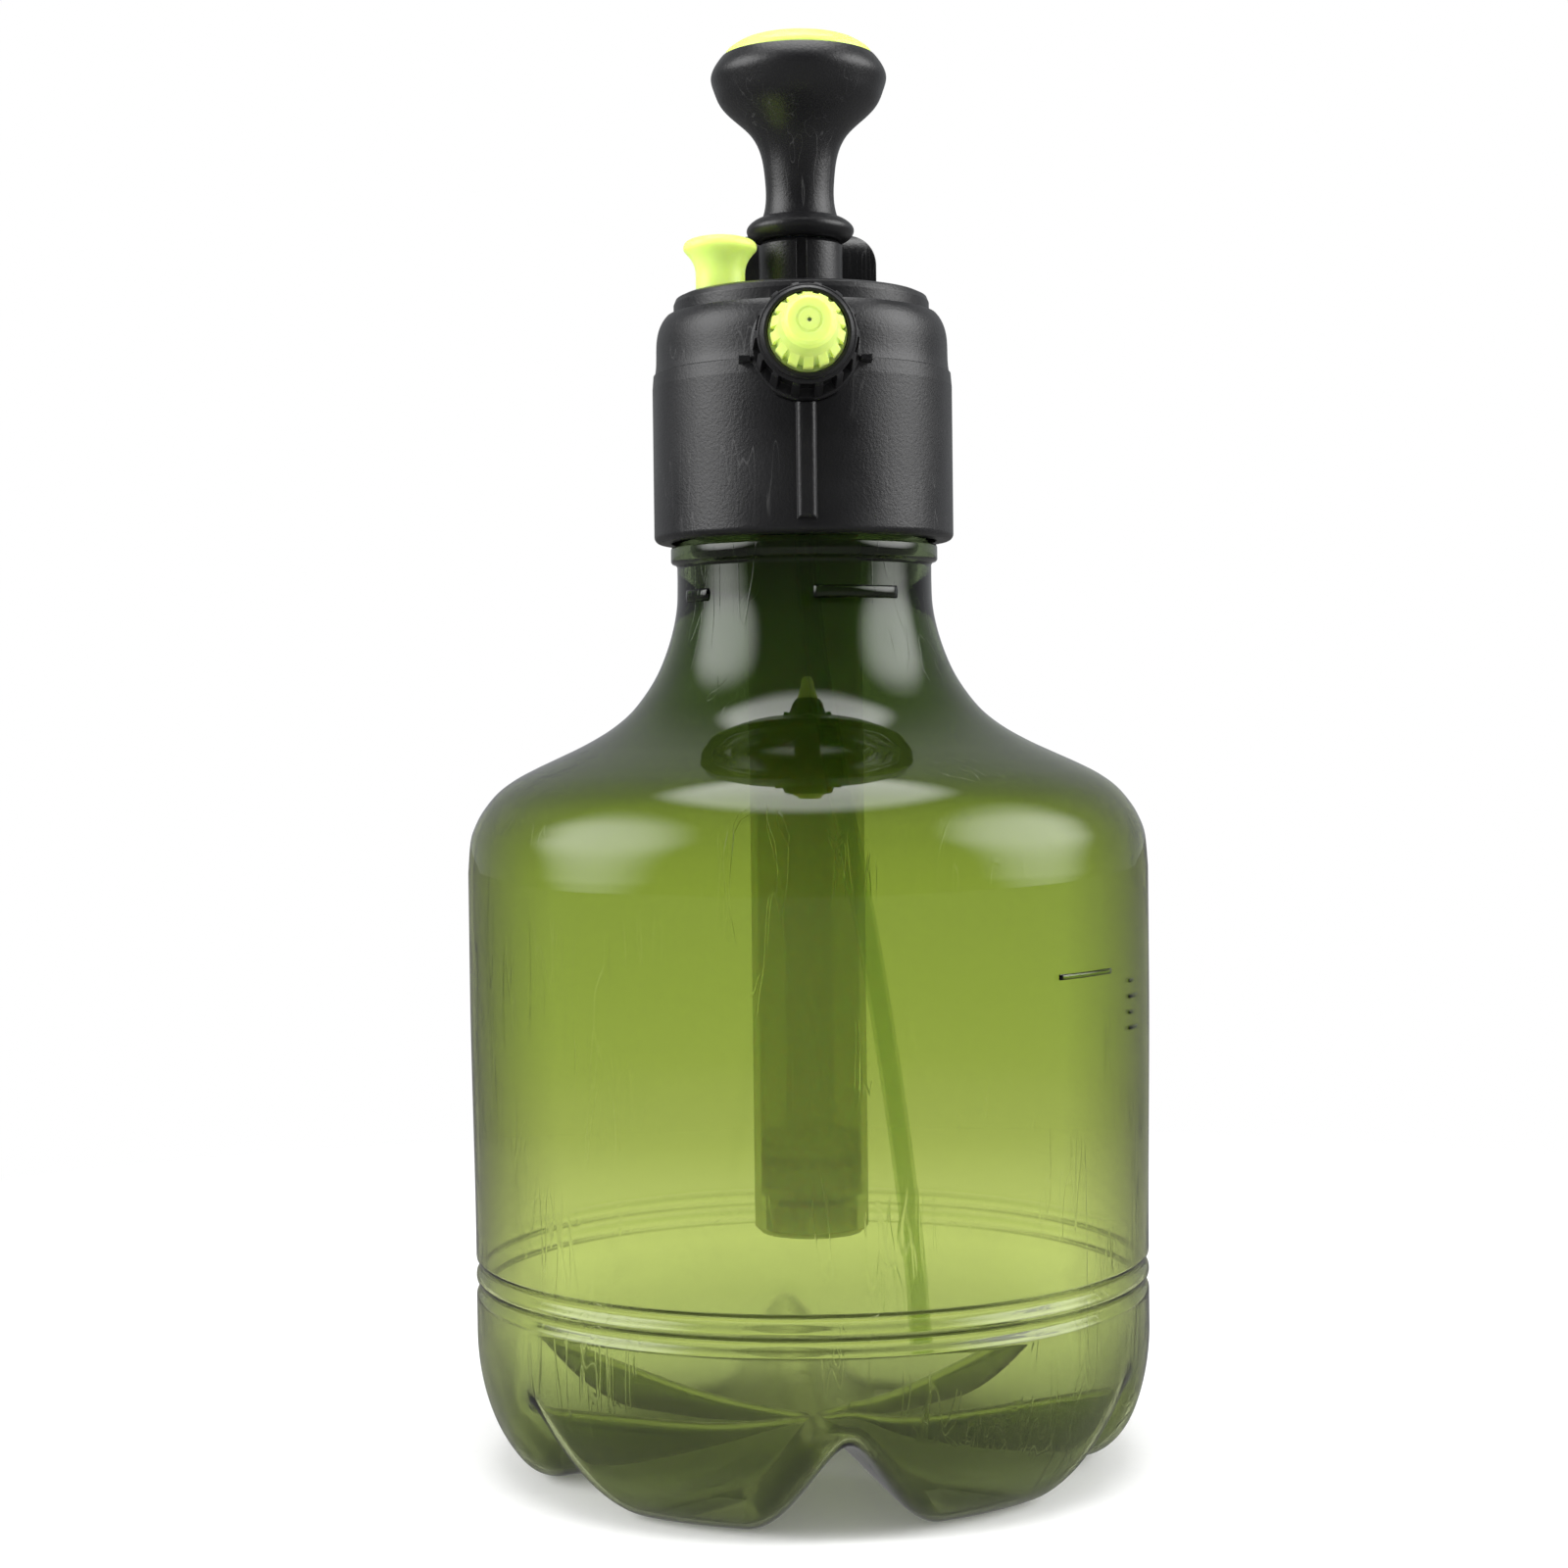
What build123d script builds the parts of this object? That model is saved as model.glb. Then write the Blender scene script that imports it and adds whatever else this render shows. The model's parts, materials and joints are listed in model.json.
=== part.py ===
from build123d import *
import os
from math import atan2, cos, radians, sin, tan

# Hand pump pressure sprayer. Millimetres. The origin is the centre of the plane that the feet
# stand on, +Z is up, the nozzle points along -Y and the grip is on the +Y side.

# ---------------------------------------------------------------- driving dimensions
# bottle
BODY_R = 77.0
BODY_TOP_Z = 136.0
BODY_LOW_R = 76.4
BODY_LOW_Z = 50.0
WALL = 1.2
NECK_R = 28.9
NECK_TOP_Z = 229.0
FINISH_R = 28.2
FINISH_BORE_R = 26.0
BEAD_R = 30.3
BEAD_Z = (203.8, 207.5)
GROOVE_Z = (46.0, 41.5)
GROOVE_DEPTH = 1.1
GROOVE_HALF = 1.9
HEEL_Z = 31.5
FOOT_R = 61.5
FEET = 6
VALLEY_AZIMUTH = 4.5          # of the front valley, seen from above, counted from -Y towards +X
VALLEY_CENTRE_Z = 4.5
VALLEY_WALL_Z = 25.5
VALLEY_HALF_ANGLE = 36.0
VALLEY_CREST_R = 5.0
FILL_MARK_Z = 114.0

# neck thread, right-handed, single start
THREAD_PITCH = 4.0
THREAD_TURNS = 1.25
THREAD_Z = 216.0
THREAD_CREST_R = 29.7
THREAD_HALF_ROOT = 0.9
THREAD_HALF_CREST = 0.45

# head
HEAD_R = 34.0
HEAD_Z = (208.4, 259.5)
SOCKET_R = 30.15
DECK_Z = (231.4, 235.5)
CAVITY_R = 29.6
LID_OPENING_R = 27.4
LID_LEDGE_Z = 255.5
PARTING_Z = 246.2
RIB_W = 4.2
RIB_Z = (211.3, 237.0)
RIB_PROUD = 1.9
FIN_REACH = 14.4
FIN_PROUD = 2.0
FIN_DROP = 0.5                # of the fins' middle below the parting line
FIN_T = 1.2
GASKET = (26.2, 29.9)

# grip
GRIP_W = 24.0
GRIP_T = 14.0
GRIP_Y = 70.0
GRIP_TOP_Z = 244.0
GRIP_FOOT_Z = 180.0

# top cover
COVER_R = 29.0
COVER_Z = (259.55, 264.0)
COVER_T = 1.8

# pump
BARREL_R = 13.0
BARREL_BORE_R = 11.5
BARREL_FOOT_Z = 51.5
FLANGE_R = 14.2
FLANGE_Z = (235.25, 238.0)
GUIDE_R = 9.5
GUIDE_TOP_Z = 276.3
GUIDE_PLUG_Z = 231.0
ROD_R = 5.5
RUN = 0.08                    # radial clearance of a running fit
PISTON_Z = (62.0, 74.0)
KNOB_FOOT_Z = 276.6
KNOB_RIM_R = 17.6
KNOB_RIM_Z = 317.9
KNOB_R = 19.9
INSERT_TOP_Z = 323.0

# spray valve, in the head below the lever's fork
VALVE_Y = -20.5
TOWER_R = 5.8
CHAMBER_R = 3.6
SEAT_Z = 240.0
STEM_R = 1.5
VALVE_SPRING_Z = (243.5, 251.1)
STEM_SEAL_Z = (251.2, 252.55)
VALVE_CAP_Z = (252.6, 255.2)
DIP_R = 2.5
DIP_WALL = 0.8

# thumb lever
PIVOT_Y = 4.0
PIVOT_Z = 253.4
LEVER_HALF = 17.9
LEVER_CREST_Z = 282.0
PAD_END_Y = 64.0

# nozzle, along -Y
NOZZLE_Z = 248.4
NUT_Y = (-33.5, -55.0)
NUT_R = (11.9, 9.75)           # rear flange, front ring
NUT_RIB_R = 11.0
NUT_POCKET_W = 3.2
NUT_POCKET_FLOOR_R = 9.3
NUT_RIBS = 14
CAP_Y = (-53.0, -72.0)
CAP_FLANGE_R = 8.25
CAP_FLANGE_T = 0.9
CAP_RIDGES = 14
CAP_RIDGE_R = 7.75
CAP_RIDGE_W = 2.1
CAP_NOSE_R = 4.4
SWIRL_R = 3.2
SWIRL_L = 2.6
SWIRL_BACK = 1.5              # of the swirl core behind the tip of the nose
SPIGOT_R = 5.0
SPIGOT_FLANGE_R = 6.2
BOSS_R = 9.0                  # of the head's round boss that carries the nut
BOSS_L = 3.0

# relief valve
RELIEF_X = -18.2
RELIEF_Y = -10.2              # far enough forward for its head to clear the knob's flange
RELIEF_HEAD_R = 8.2
RELIEF_NECK_R = 5.5
RELIEF_TOP_Z = 275.9
RELIEF_BASE_Z = 264.1
RELIEF_SEAT_Z = 239.0
RELIEF_SEAT_R = 3.4
RELIEF_STEM_R = 1.9
RELIEF_SPRING_Z = (240.5, 256.7)

NODES = {}


# ---------------------------------------------------------------- helpers
def rod(r, z0, z1, x=0.0, y=0.0):
    """Upright cylinder between two heights."""
    return Pos(x, y, (z0 + z1) / 2) * Cylinder(r, z1 - z0)


def tube(r, bore, z0, z1, x=0.0, y=0.0):
    return rod(r, z0, z1, x, y) - rod(bore, z0 - 1, z1 + 1, x, y)


def along_y(r, y0, y1, x=0.0, z=0.0):
    """Cylinder along Y between two depths."""
    return Pos(x, (y0 + y1) / 2, z) * Rot(90, 0, 0) * Cylinder(r, abs(y1 - y0))


def block(x0, x1, y0, y1, z0, z1):
    return Pos((x0 + x1) / 2, (y0 + y1) / 2, (z0 + z1) / 2) * Box(x1 - x0, y1 - y0, z1 - z0)


def turned(edges):
    """Solid of revolution about Z of a closed outline of edges drawn in (r, z)."""
    return revolve(Plane.XZ * make_face(Curve() + edges), Axis.Z)


def turned_points(points):
    """Solid of revolution about Z of a polygon of (r, z) points."""
    return revolve(Plane.XZ * make_face(Polyline(*points, close=True)), Axis.Z)


def ring(major, minor, z, x=0.0, y=0.0):
    return Pos(x, y, z) * Torus(major, minor)


def around(shape, count, first=0.0):
    """Copies of a shape turned about Z."""
    return [Rot(0, 0, first + 360 * i / count) * shape for i in range(count)]


def coil(radius, wire, z0, z1, turns, x=0.0, y=0.0):
    """Open coil spring of round wire between two heights."""
    height = z1 - z0 - 2 * wire
    path = Helix(height / turns, height, radius)
    section = Plane(path @ 0, z_dir=path % 0) * Circle(wire)
    return Pos(x, y, z0 + wire) * sweep(section, path, is_frenet=True)


def thread(root_r, crest_r, z0, embed):
    """Helical ridge from root_r to crest_r, sunk into its wall by embed."""
    path = Helix(THREAD_PITCH, THREAD_PITCH * THREAD_TURNS, root_r)
    out = 1 if crest_r > root_r else -1
    tip = crest_r - root_r
    profile = Plane.XZ * Pos(root_r, 0) * make_face(
        Polyline((-out * embed, -THREAD_HALF_ROOT), (tip, -THREAD_HALF_CREST),
                 (tip, THREAD_HALF_CREST), (-out * embed, THREAD_HALF_ROOT), close=True))
    return Pos(0, 0, z0) * sweep(profile, path, is_frenet=True)


# ---------------------------------------------------------------- bottle
def bottle_body(inset, top_z):
    """Body of revolution that the bottle is cut from, its outline moved in by inset."""
    neck = NECK_R - 2 * inset
    foot_z = inset * 1.3
    shoulder = Spline((neck, 196.0), (31.2 - 1.6 * inset, 184.4), (38.0 - inset, 172.3 - inset * 0.5),
                      (50.3 - inset * 0.4, 163.0 - inset), (61.8 - inset * 0.4, 157.7 - inset),
                      (70.1 - inset * 0.7, 152.4 - inset * 0.7), (75.3 - inset, 144.5 - inset * 0.3),
                      (BODY_R - inset, BODY_TOP_Z), tangents=[(0, -1), (0, -1)])
    heel = EllipticalCenterArc((FOOT_R - inset, HEEL_Z), BODY_LOW_R - FOOT_R, HEEL_Z - foot_z,
                               start_angle=270, arc_size=90)
    return turned([
        Line((0, top_z), (neck, top_z)),
        Line((neck, top_z), (neck, 196.0)),
        shoulder,
        Line((BODY_R - inset, BODY_TOP_Z), (BODY_LOW_R - inset, BODY_LOW_Z)),
        Line((BODY_LOW_R - inset, BODY_LOW_Z), (BODY_LOW_R - inset, HEEL_Z)),
        heel,
        Line((FOOT_R - inset, foot_z), (0, foot_z)),
        Line((0, foot_z), (0, top_z))])


def valley(grow):
    """Round-topped wedge that divides two feet, grown by the wall's thickness for the inside."""
    slope = atan2(VALLEY_WALL_Z - VALLEY_CENTRE_Z, BODY_R)
    crest = VALLEY_CREST_R + grow
    side_z = crest * sin(radians(VALLEY_HALF_ANGLE))
    side_x = crest * cos(radians(VALLEY_HALF_ANGLE))
    drop = 60.0
    wide = side_x + (drop - crest + side_z) * tan(radians(VALLEY_HALF_ANGLE))
    section = make_face(Curve() + [
        Line((-wide, -drop), (-side_x, side_z - crest)),
        ThreePointArc((-side_x, side_z - crest), (0, 0), (side_x, side_z - crest)),
        Line((side_x, side_z - crest), (wide, -drop)),
        Line((wide, -drop), (-wide, -drop))])
    start_z = VALLEY_CENTRE_Z + grow / cos(slope)
    reach = BODY_R / cos(slope) + 12.0
    plane = Plane((0, 6.0, start_z - 6.0 * tan(slope)), x_dir=(1, 0, 0), z_dir=(0, -cos(slope), sin(slope)))
    return extrude(plane * section, reach)


def make_bottle():
    outer = bottle_body(0.0, BEAD_Z[0])
    inner = bottle_body(WALL, BEAD_Z[0] + 1)
    outer -= around(valley(0.0), FEET, VALLEY_AZIMUTH)
    inner -= around(valley(WALL + 0.2), FEET, VALLEY_AZIMUTH)
    for z in GROOVE_Z:
        groove = turned([ThreePointArc((BODY_LOW_R + 1, z - GROOVE_HALF * 1.5),
                                       (BODY_LOW_R - GROOVE_DEPTH, z),
                                       (BODY_LOW_R + 1, z + GROOVE_HALF * 1.5)),
                         Line((BODY_LOW_R + 1, z + GROOVE_HALF * 1.5),
                              (BODY_LOW_R + 1, z - GROOVE_HALF * 1.5))])
        outer -= groove
        half = GROOVE_HALF * 1.2
        inner -= tube(BODY_R, BODY_LOW_R - WALL - GROOVE_DEPTH, z - half, z + half)
    finish = rod(BEAD_R, *BEAD_Z) + rod(FINISH_R, BEAD_Z[1] - 0.5, NECK_TOP_Z)
    finish += thread(FINISH_R, THREAD_CREST_R, THREAD_Z, 0.4)
    body = outer + finish - inner - rod(FINISH_BORE_R, 200.0, NECK_TOP_Z + 1)
    mark = block(-5.5, 5.5, -BODY_R - 0.5, -BODY_R + 0.9, FILL_MARK_Z - 0.6, FILL_MARK_Z + 0.6)
    return body + Rot(0, 0, 48.0) * mark


# ---------------------------------------------------------------- head
def head_shell():
    """Outside of the head: a rounded foot, a straight skirt and a taper above the parting line."""
    z0, z1 = HEAD_Z
    lip = 1.5
    shoulder_x = 31.8
    return turned([
        Line((0, z0), (HEAD_R - lip, z0)),
        ThreePointArc((HEAD_R - lip, z0), (HEAD_R - 0.3 * lip, z0 + 0.3 * lip), (HEAD_R, z0 + lip)),
        Line((HEAD_R, z0 + lip), (HEAD_R, PARTING_Z - 3.0)),
        Line((HEAD_R, PARTING_Z - 3.0), (HEAD_R - 0.25, PARTING_Z)),
        Line((HEAD_R - 0.25, PARTING_Z), (HEAD_R - 0.55, PARTING_Z + 0.1)),
        Spline((HEAD_R - 0.55, PARTING_Z + 0.1), (33.05, 252.3), (shoulder_x + 0.9, 255.6),
               (shoulder_x, 258.0), (shoulder_x - 1.1, z1)),
        Line((shoulder_x - 1.1, z1), (0, z1)),
        Line((0, z1), (0, z0))])


def grip():
    """Rear grip: an arm out of the head's back and a drop that the palm wraps round."""
    half = GRIP_T / 2
    top = GRIP_TOP_Z + half
    lean = 5.0
    side = make_face(Polyline(
        (28.0, top), (GRIP_Y + half, top), (GRIP_Y + half - lean, GRIP_FOOT_Z),
        (GRIP_Y - half - lean, GRIP_FOOT_Z), (GRIP_Y - half, top - GRIP_T), (28.0, top - GRIP_T), close=True))
    corners = side.vertices().sort_by(Axis.X)
    outer_bend = [v for v in corners if abs(v.X - GRIP_Y - half) < 0.01]
    side = fillet(outer_bend, 18.0)
    side = fillet([v for v in side.vertices() if abs(v.X - GRIP_Y + half) < 0.01], 8.0)
    side = fillet([v for v in side.vertices() if v.Y < GRIP_FOOT_Z + 1], half - 0.6)
    handle = extrude(Plane.YZ * side, GRIP_W / 2, both=True)
    return fillet(handle.faces().filter_by(Axis.X).edges(), 4.0)


def make_head():
    z0, z1 = HEAD_Z
    head = head_shell() + grip()
    head -= rod(SOCKET_R, z0 - 1, DECK_Z[0])
    head -= rod(CAVITY_R, DECK_Z[1], LID_LEDGE_Z)
    head -= rod(LID_OPENING_R, LID_LEDGE_Z - 1, z1 + 1)
    head += thread(SOCKET_R, FINISH_R + 0.55, THREAD_Z - THREAD_PITCH / 2, 0.4)
    # spray valve tower, dip tube socket below the deck and the nozzle boss
    head += rod(TOWER_R, DECK_Z[0], LID_LEDGE_Z - 0.2, 0, VALVE_Y)
    head += rod(4.3, 222.0, DECK_Z[0] + 1, 0, VALVE_Y)
    head += along_y(4.0, VALVE_Y, -31.0, 0, NOZZLE_Z)
    head += rod(RELIEF_SEAT_R, DECK_Z[0], RELIEF_SEAT_Z, RELIEF_X, RELIEF_Y)
    head -= rod(RELIEF_STEM_R + 0.3, 236.0, RELIEF_SEAT_Z + 1, RELIEF_X, RELIEF_Y)
    # front rib and the two fins on the parting line
    rib_y = -HEAD_R - RIB_PROUD
    rib = block(-RIB_W / 2, RIB_W / 2, rib_y, -HEAD_R + 3, *RIB_Z)
    head += fillet(rib.edges().group_by(Axis.Y)[0], 1.2)
    fin_z = PARTING_Z - FIN_DROP
    fin_y = (-HEAD_R - FIN_PROUD, -CAVITY_R - 0.1)
    head += block(-FIN_REACH, FIN_REACH, *fin_y, fin_z - FIN_T / 2, fin_z + FIN_T / 2)
    head -= along_y(NUT_R[0] + 0.3, NUT_Y[0] + 0.2, NUT_Y[0] - 6.0, 0, NOZZLE_Z)
    head += along_y(BOSS_R, -29.0, NUT_Y[0] - BOSS_L, 0, NOZZLE_Z)
    # lever pivots
    for side in (-1, 1):
        post = block(16.2, 20.6, PIVOT_Y - 3.6, PIVOT_Y + 3.6, DECK_Z[1] - 1, PIVOT_Z + 3.0)
        post -= Pos(18.4, PIVOT_Y, PIVOT_Z) * Rot(0, 90, 0) * Cylinder(1.55, 8)
        head += post if side > 0 else mirror(post, Plane.YZ)
    # rear opening for the lever
    head -= block(-LEVER_HALF - 0.8, LEVER_HALF + 0.8, 14.0, 37.0, 248.8, z1 + 1)
    # holes
    head -= rod(BARREL_R + 0.15, DECK_Z[0] - 1, DECK_Z[1] + 1)
    head -= rod(FLANGE_R + 0.3, 233.7, DECK_Z[1] + 1)
    head -= rod(CHAMBER_R, SEAT_Z, LID_LEDGE_Z + 1, 0, VALVE_Y)
    head -= rod(1.8, 235.0, SEAT_Z + 1, 0, VALVE_Y)
    head -= rod(DIP_R + 0.05, 221.0, 236.0, 0, VALVE_Y)
    head -= along_y(2.0, VALVE_Y, -45.0, 0, NOZZLE_Z)
    head -= rod(1.5, DECK_Z[0] - 1, 237.0, RELIEF_X, RELIEF_Y)
    return head


def make_cover():
    z0, z1 = COVER_Z
    cover = turned_points([(0, z0), (COVER_R, z0), (COVER_R, z1 - 1.8), (COVER_R - 0.5, z1 - 0.6),
                           (COVER_R - 1.8, z1), (0, z1)])
    cover -= rod(COVER_R - COVER_T, z0 - 1, z1 - COVER_T)
    cover += tube(LID_OPENING_R - 0.15, LID_OPENING_R - 1.6, 256.5, z1 - COVER_T + 0.5)
    cover -= rod(RELIEF_STEM_R + 0.2, z0, z1 + 1, RELIEF_X, RELIEF_Y)
    cover -= rod(GUIDE_R + 0.2, z0 - 5, z1 + 1)
    cover -= block(-LEVER_HALF - 0.8, LEVER_HALF + 0.8, 12.6, 40.0, 250.0, z1 + 1)
    # room for the lever's arms and pivot posts inside the skirt
    cover -= block(-21.2, 21.2, -27.2, 14.0, 255.0, z1 - COVER_T) & rod(COVER_R - COVER_T, 250.0, z1)
    cover += tube(3.6, RELIEF_STEM_R + 0.2, RELIEF_SPRING_Z[1] + 0.1, z1 - COVER_T + 0.5, RELIEF_X, RELIEF_Y)
    return cover


def make_gasket():
    return tube(GASKET[1], GASKET[0], NECK_TOP_Z + 0.1, DECK_Z[0] - 0.1)


# ---------------------------------------------------------------- pump
def make_barrel():
    barrel = turned_points([
        (0, BARREL_FOOT_Z), (BARREL_R - 1.4, BARREL_FOOT_Z), (BARREL_R, BARREL_FOOT_Z + 1.4),
        (BARREL_R, FLANGE_Z[0]), (FLANGE_R, FLANGE_Z[0]), (FLANGE_R, FLANGE_Z[1]), (0, FLANGE_Z[1])])
    barrel -= rod(BARREL_BORE_R, 60.0, FLANGE_Z[1] + 1)
    barrel -= rod(BARREL_BORE_R - 1.0, BARREL_FOOT_Z - 1, 58.5)
    barrel -= around(rod(1.2, 57.0, 61.0, 5.0), 4, 45.0)
    return barrel


def make_valve_cage():
    cage = rod(BARREL_BORE_R - 1.05, BARREL_FOOT_Z + 0.3, 55.4) + rod(1.2, 55.0, 58.3)
    return cage - around(rod(1.4, 50.0, 56.0, 6.0), 6)


def make_guide():
    guide = turned_points([(0, GUIDE_PLUG_Z), (BARREL_BORE_R - 0.05, GUIDE_PLUG_Z),
                           (BARREL_BORE_R - 0.05, FLANGE_Z[1] + 0.05), (FLANGE_R, FLANGE_Z[1] + 0.05),
                           (FLANGE_R, 243.0), (GUIDE_R + 0.8, 245.0), (GUIDE_R, 246.0),
                           (GUIDE_R, GUIDE_TOP_Z - 0.8), (GUIDE_R - 0.8, GUIDE_TOP_Z), (0, GUIDE_TOP_Z)])
    guide -= rod(ROD_R + RUN, GUIDE_PLUG_Z - 1, GUIDE_TOP_Z + 1)
    guide -= rod(ROD_R + 1.6, GUIDE_PLUG_Z - 1, 234.0)
    guide -= block(-1.15, 1.15, -GUIDE_R - 1, -GUIDE_R + 0.9, 246.5, GUIDE_TOP_Z + 1)
    return guide


def make_rod_seal():
    return tube(ROD_R + 1.5, ROD_R + 0.05, 231.3, 233.95)


def make_piston():
    piston = tube(BARREL_BORE_R - 0.3, ROD_R - 2.0 + RUN, *PISTON_Z)
    piston -= rod(ROD_R - 2.0 + RUN, 60.0, 80.0)
    piston -= tube(BARREL_R, 9.55, 67.0, 69.6)
    return piston


def make_pump_rod():
    return rod(ROD_R, PISTON_Z[1] + 0.05, 288.5) + rod(ROD_R - 2.0, PISTON_Z[0] + 1.0, PISTON_Z[1] + 1)


def make_knob():
    """Trumpet-shaped knob with a flange ring at its foot and a recess for the insert."""
    z0 = KNOB_FOOT_Z
    outline = [
        Line((0, z0), (9.6, z0)),
        Spline((9.6, z0), (11.7, z0 + 1.2), (12.2, z0 + 2.5), (11.4, z0 + 3.9), (8.6, z0 + 5.3)),
        Spline((8.6, z0 + 5.3), (7.85, 285.0), (7.9, 291.0), (8.8, 296.5), (10.7, 300.5), (14.6, 304.4),
               (18.2, 308.3), (19.3, 311.0), (KNOB_R, 313.6), (19.0, 316.0), (KNOB_RIM_R, KNOB_RIM_Z)),
        Line((KNOB_RIM_R, KNOB_RIM_Z), (0, KNOB_RIM_Z)),
        Line((0, KNOB_RIM_Z), (0, z0))]
    knob = turned(outline)
    knob -= rod(ROD_R + 0.05, z0 - 1, 288.55)
    knob -= rod(16.9, 315.0, 321.0)
    knob -= turned_points([(0, 292.0), (4.0, 292.0), (5.5, 300.0), (9.0, 304.5), (14.5, 310.0), (15.2, 315.5),
                           (0, 315.5)])
    return knob


def make_knob_cap():
    """Shallow domed insert with a short skirt that clips into the knob."""
    foot = 315.55
    dome = turned([
        Line((0, foot), (16.8, foot)),
        Line((16.8, foot), (16.8, 318.4)),
        Spline((16.8, 318.4), (15.3, 320.2), (13.0, 321.5), (9.0, 322.5), (0, INSERT_TOP_Z),
               tangents=[(-0.2, 1), (-1, 0)]),
        Line((0, INSERT_TOP_Z), (0, foot))])
    return dome - rod(15.2, 314.0, 318.0)


# ---------------------------------------------------------------- spray valve and lever
def make_stem():
    stem = rod(STEM_R, 241.6, 259.3, 0, VALVE_Y)
    stem += rod(3.3, 241.55, 243.4, 0, VALVE_Y)
    return stem + rod(2.7, 257.9, 259.3, 0, VALVE_Y)


def make_valve_cap():
    return tube(CHAMBER_R - 0.05, STEM_R + 0.3, *VALVE_CAP_Z, 0, VALVE_Y)


def make_stem_seal():
    return tube(CHAMBER_R - 0.05, STEM_R + 0.05, *STEM_SEAL_Z, 0, VALVE_Y)


def make_seat_seal():
    return rod(3.2, SEAT_Z + 0.05, 241.5, 0, VALVE_Y)


def make_valve_spring():
    return coil(2.5, 0.35, *VALVE_SPRING_Z, 5, 0, VALVE_Y)


def make_lever():
    """Rocker: a fork round the pump guide in front of the pivot and a hooded thumb pad behind it."""
    pad_z = 268.5
    hood_side = make_face(Curve() + [
        Line((14.0, 252.2), (14.0, 274.0)),
        Spline((14.0, 274.0), (16.3, 279.6), (22.0, LEVER_CREST_Z), (31.0, 279.3), (42.0, 272.8),
               (54.0, 269.6), (PAD_END_Y, pad_z), tangents=[(0, 1), (1, 0)]),
        Line((PAD_END_Y, pad_z), (PAD_END_Y, pad_z - 3.0)),
        Spline((PAD_END_Y, pad_z - 3.0), (50.0, 261.0), (36.0, 254.5)),
        Line((36.0, 254.5), (30.0, 252.2)),
        Line((30.0, 252.2), (14.0, 252.2))])
    hood = extrude(Plane.YZ * hood_side, LEVER_HALF, both=True)
    front = Plane((0, 10.0, 0), x_dir=(-1, 0, 0), z_dir=(0, 1, 0))
    arch = front * (Pos(0, 266.0) * RectangleRounded(2 * LEVER_HALF, 32.0, 8.5)
                    + Pos(0, 256.0) * Rectangle(2 * LEVER_HALF, 12.0))
    hood = hood & extrude(arch, 60.0)
    inside = make_face(Curve() + [
        Line((16.2, 250.0), (16.2, 273.5)),
        Spline((16.2, 273.5), (18.0, 277.6), (22.0, LEVER_CREST_Z - 2.4), (30.0, 277.2), (41.0, 270.6),
               (54.0, 267.2)),
        Line((54.0, 267.2), (54.0, 255.0)),
        Line((54.0, 255.0), (54.0, 250.0)),
        Line((54.0, 250.0), (16.2, 250.0))])
    hood -= extrude(Plane.YZ * inside, LEVER_HALF - 2.0, both=True)
    lever = hood
    for side in (-1, 1):
        arm = block(10.4, 14.4, VALVE_Y - 1.2, 15.0, 253.6, 257.6)
        arm += Pos(12.4, PIVOT_Y, PIVOT_Z) * Rot(0, 90, 0) * Cylinder(3.2, 4.0)
        arm += block(12.0, LEVER_HALF - 1.0, 13.0, 17.0, 252.2, 257.6)
        arm -= Pos(12.4, PIVOT_Y, PIVOT_Z) * Rot(0, 90, 0) * Cylinder(1.5 + RUN, 8)
        lever += arm if side > 0 else mirror(arm, Plane.YZ)
    bridge = block(-11.0, 11.0, VALVE_Y - 3.5, VALVE_Y + 3.2, 256.0, 257.6)
    # the slot leaves room in front of the stem, because the fork swings back as it rises
    bridge -= block(-STEM_R - 0.35, STEM_R + 0.35, VALVE_Y - 2.4, VALVE_Y + 4.0, 255.0, 258.0)
    return lever + bridge


def make_lever_pins():
    pin = Pos(15.6, PIVOT_Y, PIVOT_Z) * Rot(0, 90, 0) * Cylinder(1.5, 10.2)
    return [pin, mirror(pin, Plane.YZ)]


# ---------------------------------------------------------------- dip tube
def make_dip_tube():
    """Tube hung from the head, drifting to the wall of the bottle like a loose hose does."""
    neck_z = 212.0
    top = Plane((0, VALVE_Y, 235.5), z_dir=(0, 0, -1))
    path = Line((0, VALVE_Y, 235.5), (0, VALVE_Y, neck_z)) + Spline(
        (0, VALVE_Y, neck_z), (9.5, -19.5, 138.0), (14.4, -17.5, 110.0), (20.4, -12.5, 68.0),
        (24.3, -6.0, 27.5), tangents=[(0, 0, -1), (0.06, 0.14, -1)])
    return sweep(top * Circle(DIP_R), path) - sweep(top * Circle(DIP_R - DIP_WALL), path)


# ---------------------------------------------------------------- nozzle
def turned_y(points):
    """Solid of revolution about the nozzle's axis of (r, y) points."""
    profile = Polyline(*[(r, y, 0) for r, y in points], close=True)
    return Pos(0, 0, NOZZLE_Z) * revolve(make_face(profile), Axis.Y)


def on_nozzle(shape, count):
    return [Pos(0, 0, NOZZLE_Z) * Rot(0, 360 * i / count, 0) * shape for i in range(count)]


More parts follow.
